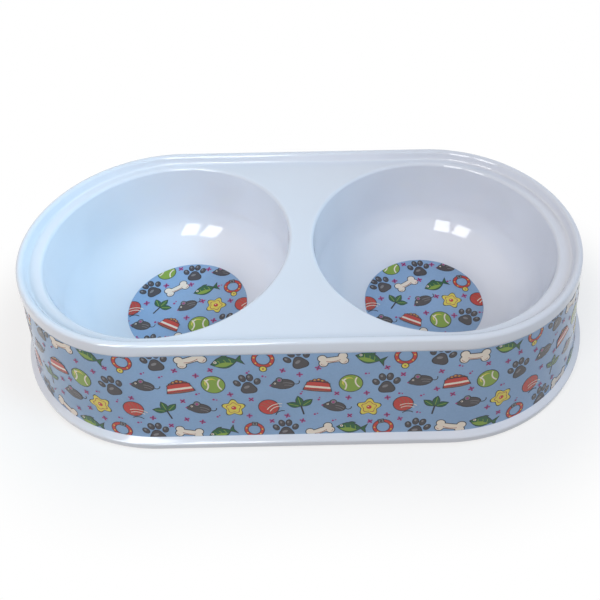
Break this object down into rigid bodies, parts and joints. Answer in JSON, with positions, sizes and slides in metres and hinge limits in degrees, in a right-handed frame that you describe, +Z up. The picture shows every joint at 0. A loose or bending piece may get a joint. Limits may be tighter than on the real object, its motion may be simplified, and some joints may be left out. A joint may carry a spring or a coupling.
{
  "type": "double pet bowl",
  "caption": "Low stadium-shaped pet feeder: two round bowls moulded into one rimmed tray, glued onto a flared skirt with a printed band and rubber feet.",
  "frame": {"origin": "centre of the footprint, on the surface that the rubber feet stand on", "axes": "+X along the length, +Z up, -Y towards the front"},
  "size_m": [0.34, 0.187, 0.07],
  "materials": {
    "white_melamine": "gloss",
    "printed_foil": "gloss, printed",
    "clear_glue": "satin",
    "soft_rubber": "matte"
  },
  "bodies": {
    "root": {"bowl_tray": "white_melamine", "skirt": "white_melamine", "rim_adhesive": "clear_glue", "side_print": "printed_foil", "left_bowl_print": "printed_foil", "right_bowl_print": "printed_foil", "foot_front_left": "soft_rubber", "foot_front_right": "soft_rubber", "foot_rear_left": "soft_rubber", "foot_rear_right": "soft_rubber"}
  },
  "joints": []
}
